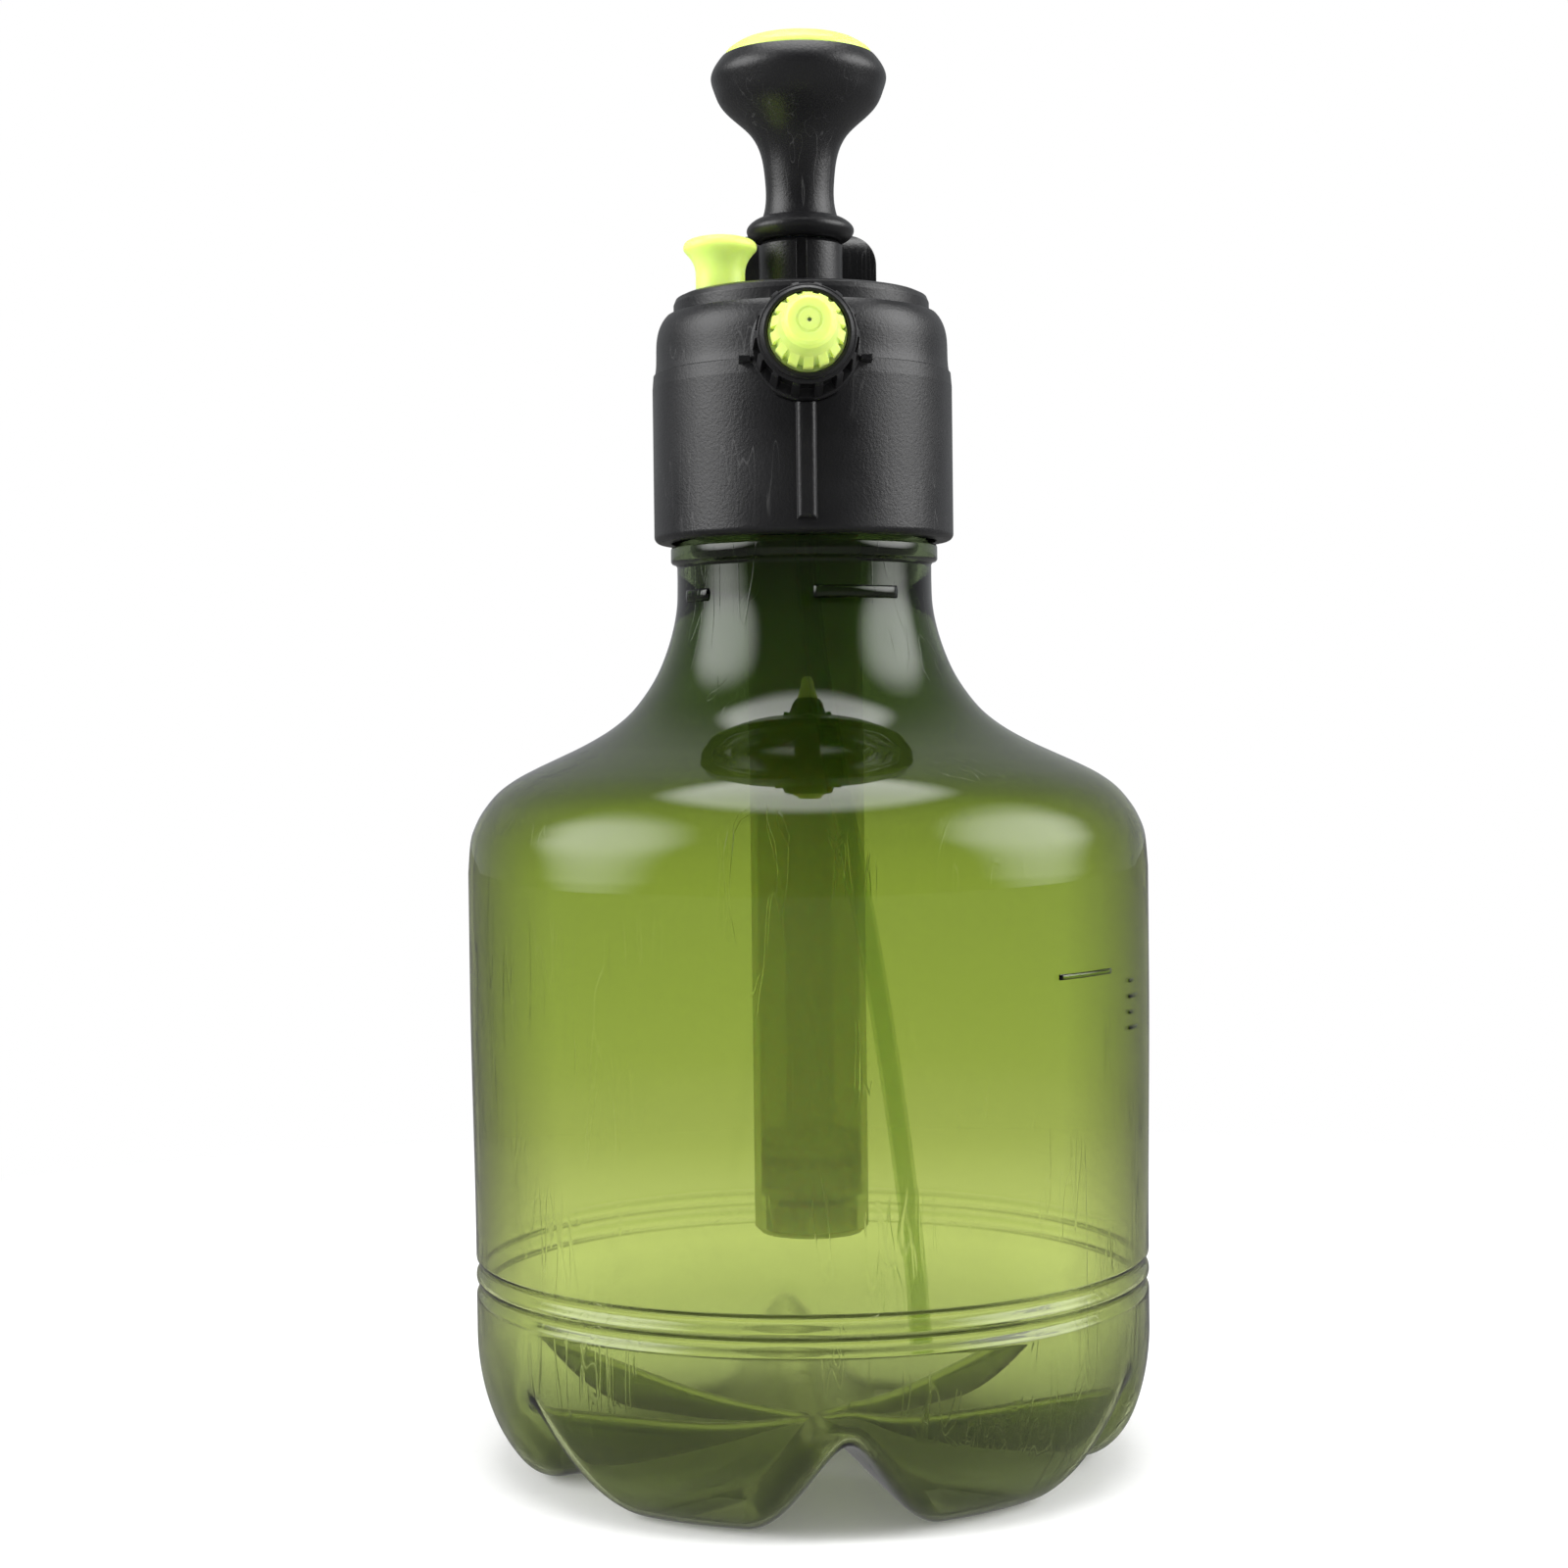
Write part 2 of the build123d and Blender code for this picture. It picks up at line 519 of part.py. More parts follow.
def make_nut():
    """Collar with a smooth front ring, a thin rear flange and ribs with open pockets between them."""
    y0, y1 = NUT_Y
    flange_r, ring_r = NUT_R
    ring_l = 2.8
    nut = turned_y([(0, y0), (flange_r - 0.3, y0), (flange_r, y0 - 0.3), (flange_r, y0 - 1.3),
                    (flange_r - 0.5, y0 - 1.6), (NUT_RIB_R, y1 + ring_l + 1.0),
                    (NUT_RIB_R - 0.6, y1 + ring_l), (ring_r, y1 + ring_l - 0.2), (ring_r, y1 + 0.8),
                    (ring_r - 0.6, y1), (0, y1)])
    half = NUT_POCKET_W / 2
    pocket = block(-half, half, y1 + ring_l + 0.2, y0 - 1.8, NUT_POCKET_FLOOR_R, flange_r + 1)
    nut -= on_nozzle(pocket, NUT_RIBS)
    nut -= along_y(BOSS_R + 0.1, y0 + 1, y0 - BOSS_L - 0.2, 0, NOZZLE_Z)
    nut -= along_y(SPIGOT_FLANGE_R + 0.1, y0, y0 - 10.5, 0, NOZZLE_Z)
    return nut - along_y(CAP_FLANGE_R + 0.2, y0 - 7.0, y1 - 1, 0, NOZZLE_Z)


def make_spigot():
    """Flanged spout clamped by the nut; the spray cap turns on its front end."""
    back_y = NUT_Y[0] - BOSS_L - 0.1
    shoulder_y = back_y - 3.7
    tip_y = -64.0
    spigot = turned_y([(0, back_y), (SPIGOT_FLANGE_R, back_y), (SPIGOT_FLANGE_R, shoulder_y),
                       (SPIGOT_R, shoulder_y), (SPIGOT_R, tip_y + 2.0), (SPIGOT_R - 1.8, tip_y), (0, tip_y)])
    return spigot - along_y(1.8, back_y + 1, tip_y - 1, 0, NOZZLE_Z)


def make_cap():
    """Spray cap: a thin flange and a cone with ridges that fade into it towards the nose."""
    y0, y1 = CAP_Y
    nose = CAP_NOSE_R
    cap = turned_y([(0, y0), (CAP_FLANGE_R, y0), (CAP_FLANGE_R, y0 - CAP_FLANGE_T),
                    (7.0, y0 - CAP_FLANGE_T), (6.9, y0 - 5.0), (6.3, y0 - 10.0), (nose + 1.2, y1 + 2.0),
                    (nose + 0.6, y1 + 0.6), (nose, y1), (0, y1)])
    side = Polyline((y0 - 0.5, 6.3), (y0 - 0.5, CAP_RIDGE_R), (y0 - 5.0, CAP_RIDGE_R), (y0 - 11.6, 5.8),
                    (y0 - 11.6, 5.6), (y0 - 5.0, 6.3), close=True)
    ridge = extrude(Plane.YZ * make_face(side), CAP_RIDGE_W / 2, both=True)
    cap += on_nozzle(ridge, CAP_RIDGES)
    cap -= along_y(SPIGOT_R + RUN, y0 + 1, -64.2, 0, NOZZLE_Z)
    cap -= along_y(SWIRL_R + 0.1, -64.0, y1 + SWIRL_BACK - 0.1, 0, NOZZLE_Z)
    cap -= along_y(0.45, y1 + 2.5, y1 - 1, 0, NOZZLE_Z)
    # shallow ring round the orifice and the o-ring's groove
    cap -= turned_y([(2.2, y1 - 1), (2.7, y1 - 1), (2.7, y1 + 0.12), (2.2, y1 + 0.12)])
    return cap - turned_y([(4.0, -55.3), (6.25, -55.3), (6.25, -57.1), (4.0, -57.1)])


def make_cap_oring():
    return Pos(0, -56.2, NOZZLE_Z) * Rot(90, 0, 0) * Torus(SPIGOT_R + RUN + 0.55, 0.55)


def make_swirl():
    """Insert with two angled slots that spins the water behind the orifice."""
    front_y = CAP_Y[1] + SWIRL_BACK
    core = along_y(SWIRL_R, front_y, front_y + SWIRL_L, 0, NOZZLE_Z)
    for x in (-2.2, 2.2):
        core -= Pos(x, front_y + 0.3, NOZZLE_Z) * Box(0.8, 0.8, 7.0)
    return core


# ---------------------------------------------------------------- relief valve
def make_relief_knob():
    x, y = RELIEF_X, RELIEF_Y
    r0, r1 = RELIEF_NECK_R, RELIEF_HEAD_R
    outline = [
        Line((0, RELIEF_BASE_Z), (r0, RELIEF_BASE_Z)),
        Line((r0, RELIEF_BASE_Z), (r0, 267.0)),
        Spline((r0, 267.0), (6.0, 270.1), (7.5, 272.3), (r1, 273.3), (r1 - 0.3, 274.6),
               (r1 - 2.2, 275.6), (0, RELIEF_TOP_Z), tangents=[(0, 1), (-1, 0)]),
        Line((0, RELIEF_TOP_Z), (0, RELIEF_BASE_Z))]
    knob = Pos(x, y, 0) * turned(outline)
    knob += rod(RELIEF_STEM_R, RELIEF_SEAT_Z + 0.2, RELIEF_BASE_Z + 1, x, y)
    return knob + rod(RELIEF_SEAT_R - 0.4, RELIEF_SEAT_Z + 0.1, RELIEF_SPRING_Z[0] - 0.1, x, y)


def make_relief_seal():
    return rod(RELIEF_STEM_R + 0.2, RELIEF_SEAT_Z - 2.1, RELIEF_SEAT_Z + 0.05, RELIEF_X, RELIEF_Y)


def make_relief_spring():
    return coil(2.6, 0.35, *RELIEF_SPRING_Z, 8, RELIEF_X, RELIEF_Y)


# ---------------------------------------------------------------- build and write
def build():
    NODES["bottle"] = make_bottle()
    NODES["head_body"] = make_head()
    NODES["top_cover"] = make_cover()
    NODES["neck_gasket"] = make_gasket()
    NODES["pump_barrel"] = make_barrel()
    NODES["barrel_seal"] = ring(BARREL_R + 0.72, 0.65, 234.42)
    NODES["valve_cage"] = make_valve_cage()
    NODES["check_valve"] = tube(7.5, 1.3, 57.1, 58.45)
    NODES["pump_guide"] = make_guide()
    NODES["rod_seal"] = make_rod_seal()
    NODES["piston"] = make_piston()
    NODES["piston_ring"] = ring(10.55, 0.88, 68.3)
    NODES["pump_rod"] = make_pump_rod()
    NODES["pump_knob"] = make_knob()
    NODES["knob_cap"] = make_knob_cap()
    NODES["spray_valve_stem"] = make_stem()
    NODES["valve_cap"] = make_valve_cap()
    NODES["stem_seal"] = make_stem_seal()
    NODES["seat_seal"] = make_seat_seal()
    NODES["valve_spring"] = make_valve_spring()
    NODES["thumb_lever"] = make_lever()
    NODES["lever_pins"] = make_lever_pins()
    NODES["dip_tube"] = make_dip_tube()
    NODES["nozzle_nut"] = make_nut()
    NODES["nozzle_spigot"] = make_spigot()
    NODES["nozzle_cap"] = make_cap()
    NODES["nozzle_oring"] = make_cap_oring()
    NODES["swirl_core"] = make_swirl()
    NODES["relief_knob"] = make_relief_knob()
    NODES["relief_seal"] = make_relief_seal()
    NODES["relief_spring"] = make_relief_spring()


def write():
    os.makedirs("parts", exist_ok=True)
    for name, shape in NODES.items():
        solids = shape if isinstance(shape, list) else [shape]
        solids = [s for piece in solids for s in piece.solids()]
        export_step(solids[0] if len(solids) == 1 else Compound(children=solids), f"parts/{name}.step")


build()
write()
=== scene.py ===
import bpy
import json
from math import cos, hypot, pi, radians, sin, sqrt
from mathutils import Matrix, Vector


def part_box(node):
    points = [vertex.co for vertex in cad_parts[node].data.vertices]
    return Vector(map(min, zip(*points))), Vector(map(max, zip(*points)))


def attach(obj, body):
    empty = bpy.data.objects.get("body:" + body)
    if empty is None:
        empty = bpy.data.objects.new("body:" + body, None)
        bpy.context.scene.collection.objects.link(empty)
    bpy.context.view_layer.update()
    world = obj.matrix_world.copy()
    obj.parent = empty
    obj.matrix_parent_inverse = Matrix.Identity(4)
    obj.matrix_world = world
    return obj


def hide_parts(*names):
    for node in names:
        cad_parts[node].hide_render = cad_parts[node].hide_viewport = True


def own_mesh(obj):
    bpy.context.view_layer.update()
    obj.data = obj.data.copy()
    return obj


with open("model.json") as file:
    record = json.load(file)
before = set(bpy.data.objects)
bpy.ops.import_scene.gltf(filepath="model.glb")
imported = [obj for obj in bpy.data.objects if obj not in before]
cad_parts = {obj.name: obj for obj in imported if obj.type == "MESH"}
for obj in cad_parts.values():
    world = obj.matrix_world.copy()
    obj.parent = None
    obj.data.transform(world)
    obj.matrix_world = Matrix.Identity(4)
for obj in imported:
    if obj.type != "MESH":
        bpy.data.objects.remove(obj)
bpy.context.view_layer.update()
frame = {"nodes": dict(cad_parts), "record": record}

NODES = frame["nodes"]
MM = 0.001

# ---------------------------------------------------------------- bottle sizes, in millimetres
BOTTLE_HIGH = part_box("bottle")[1] / MM
BODY_R = BOTTLE_HIGH.x
LOW_R = BODY_R - 0.6
NECK_TOP = BOTTLE_HIGH.z
NECK_R = 28.9
FOOT_R = 58.5                 # where the flat of the feet ends
LAND_R = 43.0                 # where it starts
CENTRE_Z = 4.5
HEEL_Z = 31.5
FEET = 6
FRONT_VALLEY = radians(4.5)   # seen from above, from -Y towards +X
VALLEY_RISE = 17.5
VALLEY_SLOPE = 1.75
VALLEY_CREST = 4.5            # radius that rounds the valleys' tops
FOOT_ROUNDING = 12.0          # over which a valley's side turns into a foot
GROOVES_Z = (46.3, 41.6)
GROOVE_HALF = 2.1
GROOVE_DEPTH = 1.1
WALL = 1.0
COLUMNS = 360


# ---------------------------------------------------------------- small helpers
def clamp(value, low=0.0, high=1.0):
    return max(low, min(high, value))


def smooth_step(value):
    t = clamp(value)
    return t * t * (3 - 2 * t)


def mix(a, b, t):
    return a + (b - a) * t


def smooth_max(a, b, width):
    """Larger of two values, rounded over where they are within width of each other."""
    h = clamp(0.5 + 0.5 * (a - b) / width)
    return mix(b, a, h) + width * h * (1 - h)


def curve_through(points, steps):
    """Catmull-Rom curve through 2D points, with the given number of steps a span."""
    ends = [points[0]] + list(points) + [points[-1]]
    out = []
    for i in range(len(points) - 1):
        p0, p1, p2, p3 = ends[i:i + 4]
        for k in range(steps):
            t = k / steps
            out.append(tuple(
                0.5 * (2 * b + (c - a) * t + (2 * a - 5 * b + 4 * c - d) * t ** 2
                       + (3 * b - a - 3 * c + d) * t ** 3)
                for a, b, c, d in zip(p0, p1, p2, p3)))
    out.append(tuple(points[-1]))
    return out


def on_wall(radius, azimuth, z):
    """Point at a distance from the axis, at an azimuth from -Y towards +X."""
    return (radius * sin(azimuth), -radius * cos(azimuth), z)


def mesh_object(name, verts, faces, body, material, replaced=()):
    """New smooth-shaded piece, in millimetres, riding on a body."""
    mesh = bpy.data.meshes.new(name)
    mesh.from_pydata([Vector(v) * MM for v in verts], [], faces)
    mesh.validate()
    mesh.polygons.foreach_set("use_smooth", [True] * len(mesh.polygons))
    mesh.materials.append(material)
    obj = bpy.data.objects.new(name, mesh)
    bpy.context.scene.collection.objects.link(obj)
    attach(obj, body)
    if replaced:
        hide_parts(*replaced)
    return obj


# ---------------------------------------------------------------- materials
class Nodes:
    """Short calls for the nodes of one node tree."""

    def __init__(self, tree):
        self.tree = tree

    def node(self, kind, **inputs):
        """New node; an input is named as Blender names it, or i and its number."""
        made = self.tree.nodes.new(kind)
        for key, value in inputs.items():
            socket = made.inputs[int(key[1:])] if key[0] == "i" and key[1:].isdigit() else made.inputs[key]
            self.feed(socket, value)
        return made

    def feed(self, socket, value):
        if isinstance(value, bpy.types.NodeSocket):
            self.tree.links.new(value, socket)
        else:
            socket.default_value = value

    def ramp(self, factor, stops):
        made = self.node("ShaderNodeValToRGB", Fac=factor)
        elements = made.color_ramp.elements
        while len(elements) < len(stops):
            elements.new(0.5)
        for element, (position, colour) in zip(elements, stops):
            element.position = position
            element.color = (*colour, 1.0)
        return made.outputs["Color"]

    def range(self, value, low, high, to_low, to_high):
        return self.node("ShaderNodeMapRange", i0=value, i1=low, i2=high, i3=to_low, i4=to_high).outputs[0]

    def math(self, operation, a, b=0.0):
        made = self.node("ShaderNodeMath", i0=a, i1=b)
        made.operation = operation
        return made.outputs[0]

    def scaled(self, colour, factor):
        """Colour times a grey level."""
        made = self.node("ShaderNodeVectorMath", i0=colour, i3=factor)
        made.operation = "SCALE"
        return made.outputs[0]

    def blend(self, factor, a, b):
        """Colour or grey level a where the factor is 0, b where it is 1."""
        made = self.node("ShaderNodeMix")
        made.data_type = "RGBA"
        self.feed(made.inputs[0], factor)
        self.feed(made.inputs[6], a)
        self.feed(made.inputs[7], b)
        return made.outputs[2]

    def reflected(self):
        """1 for a ray that comes off a shiny surface, 0 for one that came through a clear one."""
        path = self.node("ShaderNodeLightPath")
        through = self.math("SUBTRACT", 1.0, path.outputs["Is Transmission Ray"])
        return self.math("MULTIPLY", path.outputs["Is Glossy Ray"], through)


class Shader(Nodes):
    """A node material round a Principled shader."""

    def __init__(self, name):
        self.material = bpy.data.materials.new(name)
        self.material.use_nodes = True
        super().__init__(self.material.node_tree)
        self.bsdf = self.tree.nodes["Principled BSDF"]
        self.place = self.node("ShaderNodeTexCoord").outputs["Object"]

    def set(self, **values):
        for key, value in values.items():
            self.feed(self.bsdf.inputs[key.replace("_", " ")], value)

    def noise(self, scale, detail=3.0, rough=0.5, stretch=(1.0, 1.0, 1.0)):
        place = self.node("ShaderNodeMapping", Vector=self.place, Scale=stretch).outputs[0]
        made = self.node("ShaderNodeTexNoise", Vector=place, Scale=scale, Detail=detail, Roughness=rough)
        return made.outputs["Fac"]

    def bump(self, height, distance, strength=1.0, normal=None):
        made = self.node("ShaderNodeBump", Height=height, Distance=distance, Strength=strength)
        if normal is not None:
            self.feed(made.inputs["Normal"], normal)
        return made.outputs[0]

    def soft_edges(self, radius):
        """Normal that rounds hard edges over a radius in metres."""
        made = self.node("ShaderNodeBevel", Radius=radius)
        made.samples = 6
        return made.outputs[0]

    def height(self):
        return self.node("ShaderNodeSeparateXYZ", Vector=self.place).outputs["Z"]

    def scratches(self, scale, turn, thin):
        """Short hairlines: thin bands of a stretched and turned noise, kept in sparse patches."""
        mapping = self.node("ShaderNodeMapping", Vector=self.place, Rotation=turn, Scale=(1.0, 1.0, 0.12))
        place = mapping.outputs[0]
        lines = self.node("ShaderNodeTexNoise", Vector=place, Scale=scale, Detail=1.0).outputs["Fac"]
        away = self.math("ABSOLUTE", self.math("SUBTRACT", lines, 0.5))
        line = self.range(away, 0.0, thin, 1.0, 0.0)
        patch = self.range(self.noise(scale * 0.16, 1.0), 0.56, 0.64, 0.0, 1.0)
        return self.math("MULTIPLY", line, patch)


def seen_through(red, green, blue):
    """Tint of a clear wall that leaves this 8-bit colour of white light after both sides of the bottle."""
    return tuple(min(1.0, 1.05 * sqrt((c / 255) ** 2.2)) for c in (red, green, blue))


def bottle_pet():
    """Clear green PET: deep where the wall is thick or seen along its length, pale where it is thin. The
    height ramp also holds painted shade, near black at the neck and bead where the black head and parts
    stand behind the wall, and painted light, a pale band low on the body where the white floor shows
    through.
    """
    s = Shader("bottle_pet")
    # Colour by height: deeper towards the neck for the thicker wall, plus painted shade that makes the neck
    # and bead near black and painted light that makes the band low on the body pale.
    tint_with_painted_shade_and_light_at = [
        (0, (112, 124, 74)),
        (22, (118, 131, 68)),
        (36, (168, 182, 98)),
        (50, (166, 179, 95)),
        (68, (154, 168, 84)),
        (75, (150, 165, 78)),
        (82, (142, 159, 66)),
        (100, (134, 154, 57)),
        (132, (125, 145, 52)),
        (148, (106, 124, 46)),
        (158, (70, 86, 38)),
        (165, (54, 69, 31)),
        (172, (47, 62, 28)),
        (190, (45, 63, 26)),
        (200, (36, 48, 23)),
        (208, (26, 34, 18)),
        (220, (24, 32, 17))]
    top = 230.0
    tint = s.ramp(s.range(s.height(), 0.0, top * MM, 0.0, 1.0),
                  [(z / top, seen_through(*colour)) for z, colour in tint_with_painted_shade_and_light_at])
    facing = s.node("ShaderNodeLayerWeight", Blend=0.5).outputs["Facing"]
    tint = s.scaled(tint, s.range(facing, 0.35, 0.80, 1.0, 0.25))
    scuff = s.math("MAXIMUM", s.scratches(150.0, (0.5, 0.2, 0.0), 0.012),
                   s.scratches(190.0, (1.4, 0.3, 0.9), 0.010))
    haze = s.range(s.noise(35.0, 4.0), 0.45, 0.75, 0.01, 0.04)
    uneven_wall = s.bump(s.noise(16.0, 1.0), 0.0008, 0.35)
    s.set(Base_Color=tint, Transmission_Weight=1.0, IOR=1.5,
          Normal=s.bump(scuff, 0.00004, 0.5, uneven_wall),
          Roughness=s.math("ADD", haze, s.math("MULTIPLY", scuff, 0.25)))
    return s.material


def black_satin():
    """Black polypropylene with a fine spark-eroded grain, softened edges and a few pale hairlines."""
    s = Shader("black_satin")
    grain = s.noise(1500.0, 2.0, 0.7)
    mottled = s.noise(70.0, 4.0)
    scratch = s.math("MAXIMUM", s.scratches(260.0, (0.9, 0.3, 0.2), 0.010),
                     s.scratches(330.0, (0.2, 1.2, 0.7), 0.008))
    plain = s.ramp(mottled, [(0.3, (0.0060, 0.0060, 0.0066)), (0.75, (0.0100, 0.0100, 0.0108))])
    tone = s.blend(s.math("MULTIPLY", scratch, 0.35), plain, (0.09, 0.09, 0.09, 1))
    rough = s.math("ADD", s.range(mottled, 0.3, 0.7, 0.30, 0.40), s.math("MULTIPLY", scratch, 0.15))
    s.set(Base_Color=tone, Roughness=rough, IOR=1.49,
          Normal=s.bump(grain, 0.00012, 0.6, s.soft_edges(0.35 * MM)))
    return s.material


def yellow_green():
    """Yellow-green plastic, cloudy enough for light to spread inside it."""
    s = Shader("yellow_green")
    tone = s.ramp(s.noise(90.0, 3.0), [(0.3, (0.59, 0.78, 0.16)), (0.7, (0.65, 0.82, 0.20))])
    s.set(Base_Color=tone, Roughness=s.range(s.noise(400.0), 0.3, 0.7, 0.30, 0.42), IOR=1.49,
          Subsurface_Weight=0.75, Subsurface_Radius=(1.0, 0.9, 0.3), Subsurface_Scale=0.004,
          Normal=s.bump(s.noise(1800.0, 2.0), 0.00003, 0.4, s.soft_edges(0.3 * MM)))
    return s.material


def clouded(name, tint, clear):
    """Unpigmented plastic: part of the light goes straight through, the rest is scattered."""
    s = Shader(name)
    cloud = s.ramp(s.noise(70.0, 4.0), [(0.3, tint), (0.7, tuple(min(1.0, c * 1.06) for c in tint))])
    s.set(Base_Color=cloud, Roughness=s.range(s.noise(300.0), 0.3, 0.7, 0.35, 0.5), IOR=1.49,
          Subsurface_Weight=0.3, Subsurface_Scale=0.003, Normal=s.bump(s.noise(900.0), 0.00003, 0.4))
    see_through = s.node("ShaderNodeBsdfTransparent", Color=(*tint, 1.0))
    share = s.range(s.noise(25.0, 2.0), 0.3, 0.7, clear - 0.04, clear + 0.04)
    both = s.node("ShaderNodeMixShader", i0=share,
                  i1=s.bsdf.outputs[0], i2=see_through.outputs[0])
    s.feed(s.tree.nodes["Material Output"].inputs["Surface"], both.outputs[0])
    return s.material


def black_rubber():
    s = Shader("black_rubber")
    tone = s.ramp(s.noise(500.0), [(0.3, (0.012, 0.012, 0.012)), (0.7, (0.03, 0.03, 0.03))])
    s.set(Base_Color=tone, Roughness=0.7, Normal=s.bump(s.noise(3000.0), 0.00004, 0.6))
    return s.material


def spring_steel():
    s = Shader("spring_steel")
    drawn = s.noise(900.0, 2.0, 0.5, (1.0, 1.0, 0.1))
    s.set(Base_Color=s.ramp(drawn, [(0.3, (0.50, 0.50, 0.50)), (0.7, (0.66, 0.65, 0.63))]), Metallic=1.0,
          Roughness=s.range(drawn, 0.3, 0.7, 0.22, 0.38), Normal=s.bump(drawn, 0.00002, 0.5))
    return s.material


def dress(materials):
    """Give every CAD node the material of its slot."""
    for part in frame["record"]["subparts"]:
        slots = NODES[part["node"]].data.materials
        slots.clear()
        slots.append(materials[part["material_slot"]])


# ---------------------------------------------------------------- bottle
def groove_depth(z):
    """Two rolled grooves round the bottle above its feet."""
    return sum(GROOVE_DEPTH * cos(clamp((z - centre) / GROOVE_HALF, -1, 1) * pi / 2) ** 2
               for centre in GROOVES_Z)


def bottle_outline():
    """(r, z) points from the base's centre to the top of the neck."""
    base = [(r, CENTRE_Z * (1 - smooth_step(r / LAND_R))) for r in [i * LAND_R / 30 for i in range(31)]]
    base += [(mix(LAND_R, FOOT_R, i / 6), 0.0) for i in range(1, 6)]
    quarter = [i / 48 * pi / 2 for i in range(49)]
    heel = [(FOOT_R + (LOW_R - FOOT_R) * sin(a), HEEL_Z * (1 - cos(a))) for a in quarter]
    side = [(LOW_R - groove_depth(z), z) for z in [HEEL_Z + 1.0 + 0.4 * i for i in range(46)]]
    side += [(mix(LOW_R, BODY_R, smooth_step((z - 50) / 60)), z) for z in range(54, 134, 4)]
    shoulder = curve_through([(BODY_R, 134.5), (76.4, 141.5), (75.2, 145.2), (73.3, 148.6), (70.1, 152.4),
                              (66.0, 155.4), (61.2, 157.9), (56.0, 160.3), (50.3, 163.0), (44.6, 166.3),
                              (40.0, 170.0), (36.4, 174.4), (33.6, 179.0), (31.5, 184.0), (30.0, 189.0),
                              (29.1, 194.0), (NECK_R, 199.0), (NECK_R, 203.0)], 5)
    bead = [(29.2, 203.5), (30.0, 203.8), (30.3, 204.2), (30.3, 207.0), (30.1, 207.4), (29.6, 207.5)]
    finish = [(28.3, 207.6), (28.2, 210.0), (28.2, NECK_TOP - 0.8), (27.7, NECK_TOP)]
    return base + heel + side + shoulder + bead + finish


def wall_offset(points, thickness):
    """Inner outline: each point moved along the outline's inward normal."""
    inner = []
    for i, (r, z) in enumerate(points):
        before = points[max(i - 1, 0)]
        after = points[min(i + 1, len(points) - 1)]
        dr, dz = after[0] - before[0], after[1] - before[1]
        length = hypot(dr, dz)
        inner.append((max(r - thickness * dz / length, 0.0), z + thickness * dr / length))
    return inner


def valley_height(x, y, lift):
    """Height of the highest of the valleys between the feet."""
    best = -1000.0
    for k in range(FEET):
        a = FRONT_VALLEY + 2 * pi * k / FEET
        along = x * sin(a) - y * cos(a)
        if along < 0:
            continue
        across = x * cos(a) + y * sin(a)
        crest = CENTRE_Z + lift + VALLEY_RISE * (along / BODY_R) ** 1.15
        best = max(best, crest - (hypot(across, VALLEY_CREST) - VALLEY_CREST) * VALLEY_SLOPE)
    return best


def bottle_layer(outline, lift):
    """Rows of points round the outline, with the valleys pushed up into the base."""
    rows = []
    for r, z in outline:
        row = []
        for c in range(COLUMNS):
            x, y, height = on_wall(r, 2 * pi * c / COLUMNS, z)
            if z < 60:
                height = smooth_max(z, valley_height(x, y, lift), FOOT_ROUNDING)
            row.append((x, y, height))
        rows.append(row)
    return rows


def lower_to_floor(layers):
    """Drop the whole base so that the feet touch the floor again after their rounding."""
    gap = min(p[2] for row in layers[0] for p in row)
    return [[[(x, y, z - gap * (1 - smooth_step(z / HEEL_Z))) for x, y, z in row] for row in rows]
            for rows in layers]


def build_bottle(material):
    """Blown shell with an outer and an inner surface, joined at the rim."""
    outline = bottle_outline()
    neck_start, bore_r, bore_z = 190.0, 26.0, 203.0
    inner = [(r if z < neck_start else mix(r, bore_r, smooth_step((z - neck_start) / 12)), z)
             for r, z in wall_offset(outline, WALL) if z < bore_z]
    inner += [(bore_r, 207.0), (bore_r, NECK_TOP - 0.6), (bore_r + 0.4, NECK_TOP)]
    verts, faces = [], []

    def add(rows, flip):
        """One surface of revolution closed at the axis; returns the first vertex of its last row."""
        centre = len(verts)
        verts.append((0.0, 0.0, rows[0][0][2]))
        for row in rows[1:]:
            verts.extend(row)
        around = [(c, (c + 1) % COLUMNS) for c in range(COLUMNS)]
        new = [(centre, centre + 1 + c, centre + 1 + n) for c, n in around]
        for k in range(len(rows) - 2):
            low = centre + 1 + k * COLUMNS
            high = low + COLUMNS
            new += [(low + c, high + c, high + n, low + n) for c, n in around]
        faces.extend(face[::-1] if flip else face for face in new)
        return centre + 1 + (len(rows) - 2) * COLUMNS

    outer_rows, inner_rows = lower_to_floor([bottle_layer(outline, 0.0), bottle_layer(inner, WALL * 1.4)])
    rim_out = add(outer_rows, True)
    rim_in = add(inner_rows, False)
    for c in range(COLUMNS):
        n = (c + 1) % COLUMNS
        faces.append((rim_out + c, rim_out + n, rim_in + n, rim_in + c))
    return mesh_object("bottle_shell", verts, faces, "bottle", material, ("bottle",))


